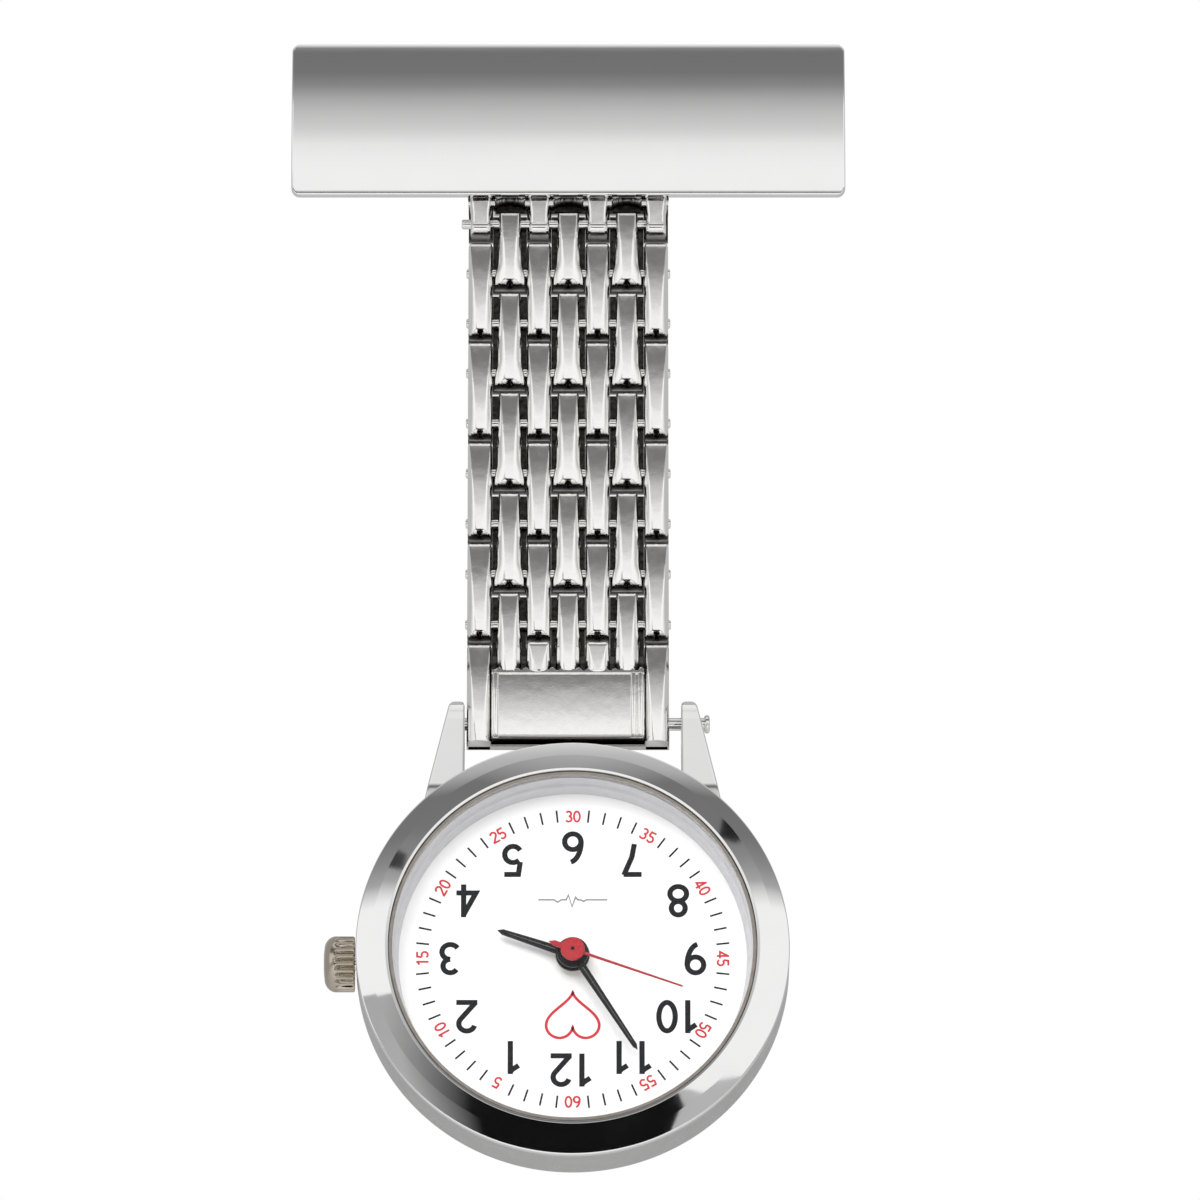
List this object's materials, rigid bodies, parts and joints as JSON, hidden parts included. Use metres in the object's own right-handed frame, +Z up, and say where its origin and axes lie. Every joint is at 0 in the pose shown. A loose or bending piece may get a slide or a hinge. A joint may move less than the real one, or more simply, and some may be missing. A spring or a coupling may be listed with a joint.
{
  "type": "fob watch",
  "caption": "Nurse's fob watch: a brooch bar with a safety pin and catch, a brick-link metal strap and a round analogue quartz watch hung upside down.",
  "frame": {"origin": "centre of the brooch pin's shaft, on its axis", "axes": "+Z up along the hanging watch, +X along the brooch pin towards its tip, the dial faces -Y"},
  "size_m": [0.0392, 0.0084, 0.0834],
  "materials": {
    "chrome_polished": "polished",
    "chrome_cast": "gloss",
    "steel_satin": "satin",
    "steel_pin": "gloss",
    "nickel": "gloss",
    "crystal_glass": "gloss",
    "gasket_nylon": "satin",
    "gasket_rubber": "matte",
    "ring_silver": "satin",
    "dial_white": "satin",
    "hand_black": "satin",
    "hand_red": "satin",
    "brass_wheel": "satin",
    "movement_plastic": "matte",
    "holder_plastic": "satin",
    "copper_coil": "satin",
    "board_green": "matte"
  },
  "bodies": {
    "bar": {"bar_cover": "chrome_polished", "bar_back_plate": "steel_satin", "pin_strip": "steel_satin", "hinge_bracket": "steel_satin", "hinge_rivet": "steel_pin", "catch_barrel": "steel_satin", "strap_top_end": "chrome_cast", "strap_pin_1": "steel_pin"},
    "pin": {"brooch_pin": "steel_pin"},
    "catch": {"catch_sleeve": "steel_satin"},
    "inner_row_1": {"inner_links_1": "chrome_cast"},
    "outer_row_1": {"outer_links_1": "chrome_cast", "strap_pin_2": "steel_pin", "strap_pin_3": "steel_pin"},
    "inner_row_2": {"inner_links_2": "chrome_cast"},
    "outer_row_2": {"outer_links_2": "chrome_cast", "strap_pin_4": "steel_pin", "strap_pin_5": "steel_pin"},
    "inner_row_3": {"inner_links_3": "chrome_cast"},
    "outer_row_3": {"outer_links_3": "chrome_cast", "strap_pin_6": "steel_pin", "strap_pin_7": "steel_pin"},
    "inner_row_4": {"inner_links_4": "chrome_cast"},
    "outer_row_4": {"outer_links_4": "chrome_cast", "strap_pin_8": "steel_pin", "strap_pin_9": "steel_pin"},
    "strap_end": {"strap_bottom_end": "chrome_cast"},
    "case": {"case_body": "steel_satin", "bezel": "chrome_polished", "crystal": "crystal_glass", "crystal_gasket": "gasket_nylon", "dial_ring": "ring_silver", "dial": "dial_white", "case_back": "steel_satin", "case_back_gasket": "gasket_rubber", "lug_pin": "steel_pin", "movement_ring": "holder_plastic", "main_plate": "movement_plastic", "battery": "steel_satin", "battery_strap": "steel_satin", "coil": "copper_coil", "stator": "steel_satin", "circuit_board": "board_green", "quartz_can": "steel_satin", "train_cover": "steel_satin"},
    "crown_slide": {"setting_lever": "steel_satin", "crown_gasket": "gasket_rubber"},
    "crown_and_stem": {"crown": "nickel", "stem": "steel_pin"},
    "hour_work": {"hour_hand": "hand_black", "hour_wheel": "brass_wheel"},
    "minute_work": {"minute_hand": "hand_black", "cannon_pinion": "brass_wheel"},
    "second_work": {"second_hand": "hand_red", "seconds_wheel": "brass_wheel"},
    "third_wheel_arbor": {"third_wheel": "brass_wheel"},
    "centre_wheel_arbor": {"centre_wheel": "brass_wheel"},
    "intermediate_wheel_arbor": {"intermediate_wheel": "brass_wheel"},
    "rotor_arbor": {"rotor": "steel_pin"},
    "minute_wheel_arbor": {"minute_wheel": "brass_wheel"}
  },
  "joints": [
    {"name": "brooch_pin_hinge", "type": "hinge", "parent": "bar", "child": "pin", "pos_m": [-0.0135, 0, 0], "axis": [0, 0, 1], "range_deg": [0, 45]},
    {"name": "catch_turn", "type": "hinge", "parent": "bar", "child": "catch", "pos_m": [0.0133, 0, 0], "axis": [1, 0, 0], "range_deg": [0, 100]},
    {"name": "strap_hinge_1", "type": "hinge", "parent": "bar", "child": "inner_row_1", "pos_m": [0, -0.0022, -0.00731], "axis": [1, 0, 0], "range_deg": [-15, 15]},
    {"name": "strap_hinge_2", "type": "hinge", "parent": "inner_row_1", "child": "outer_row_1", "pos_m": [0, -0.0022, -0.01108], "axis": [1, 0, 0], "range_deg": [-15, 15]},
    {"name": "strap_hinge_3", "type": "hinge", "parent": "outer_row_1", "child": "inner_row_2", "pos_m": [0, -0.0022, -0.01485], "axis": [1, 0, 0], "range_deg": [-15, 15]},
    {"name": "strap_hinge_4", "type": "hinge", "parent": "inner_row_2", "child": "outer_row_2", "pos_m": [0, -0.0022, -0.01862], "axis": [1, 0, 0], "range_deg": [-15, 15]},
    {"name": "strap_hinge_5", "type": "hinge", "parent": "outer_row_2", "child": "inner_row_3", "pos_m": [0, -0.0022, -0.02239], "axis": [1, 0, 0], "range_deg": [-15, 15]},
    {"name": "strap_hinge_6", "type": "hinge", "parent": "inner_row_3", "child": "outer_row_3", "pos_m": [0, -0.0022, -0.02616], "axis": [1, 0, 0], "range_deg": [-15, 15]},
    {"name": "strap_hinge_7", "type": "hinge", "parent": "outer_row_3", "child": "inner_row_4", "pos_m": [0, -0.0022, -0.02993], "axis": [1, 0, 0], "range_deg": [-15, 15]},
    {"name": "strap_hinge_8", "type": "hinge", "parent": "inner_row_4", "child": "outer_row_4", "pos_m": [0, -0.0022, -0.0337], "axis": [1, 0, 0], "range_deg": [-15, 15]},
    {"name": "strap_hinge_9", "type": "hinge", "parent": "outer_row_4", "child": "strap_end", "pos_m": [0, -0.0022, -0.03747], "axis": [1, 0, 0], "range_deg": [-15, 15]},
    {"name": "case_hinge", "type": "hinge", "parent": "strap_end", "child": "case", "pos_m": [0.00035, -0.0022, -0.04485], "axis": [1, 0, 0], "range_deg": [-80, 45]},
    {"name": "crown_pull", "type": "slide", "parent": "case", "child": "crown_slide", "axis": [-1, 0, 0], "range_m": [0, 0.0008]},
    {"name": "crown_turn", "type": "hinge", "parent": "crown_slide", "child": "crown_and_stem", "pos_m": [-0.01465, -0.00265, -0.06265], "axis": [1, 0, 0], "continuous": true},
    {"name": "second_hand_spin", "type": "hinge", "parent": "case", "child": "second_work", "pos_m": [0.00035, -0.004, -0.06265], "axis": [0, 1, 0], "continuous": true},
    {"name": "minute_hand_set", "type": "hinge", "parent": "case", "child": "minute_work", "pos_m": [0.00035, -0.004, -0.06265], "axis": [0, 1, 0], "continuous": true},
    {"name": "hour_hand_spin", "type": "hinge", "parent": "case", "child": "hour_work", "pos_m": [0.00035, -0.004, -0.06265], "axis": [0, 1, 0], "continuous": true},
    {"name": "minute_wheel_spin", "type": "hinge", "parent": "case", "child": "minute_wheel_arbor", "pos_m": [-0.00191, -0.004, -0.06347], "axis": [0, 1, 0], "continuous": true},
    {"name": "third_wheel_spin", "type": "hinge", "parent": "case", "child": "third_wheel_arbor", "pos_m": [-0.00178, -0.004, -0.06414], "axis": [0, 1, 0], "continuous": true},
    {"name": "centre_wheel_spin", "type": "hinge", "parent": "case", "child": "centre_wheel_arbor", "pos_m": [0.00035, -0.004, -0.06265], "axis": [0, 1, 0], "continuous": true},
    {"name": "intermediate_wheel_spin", "type": "hinge", "parent": "case", "child": "intermediate_wheel_arbor", "pos_m": [-0.00012, -0.004, -0.05999], "axis": [0, 1, 0], "continuous": true},
    {"name": "rotor_spin", "type": "hinge", "parent": "case", "child": "rotor_arbor", "pos_m": [0.00098, -0.004, -0.05809], "axis": [0, 1, 0], "continuous": true}
  ],
  "couplings": [
    {"joint": "hour_hand_spin", "follows": "minute_hand_set", "ratio": 0.083333},
    {"joint": "minute_wheel_spin", "follows": "minute_hand_set", "ratio": -0.33333},
    {"joint": "third_wheel_spin", "follows": "second_hand_spin", "ratio": -0.125},
    {"joint": "centre_wheel_spin", "follows": "second_hand_spin", "ratio": 0.016667},
    {"joint": "intermediate_wheel_spin", "follows": "second_hand_spin", "ratio": -5},
    {"joint": "rotor_spin", "follows": "second_hand_spin", "ratio": 30}
  ]
}
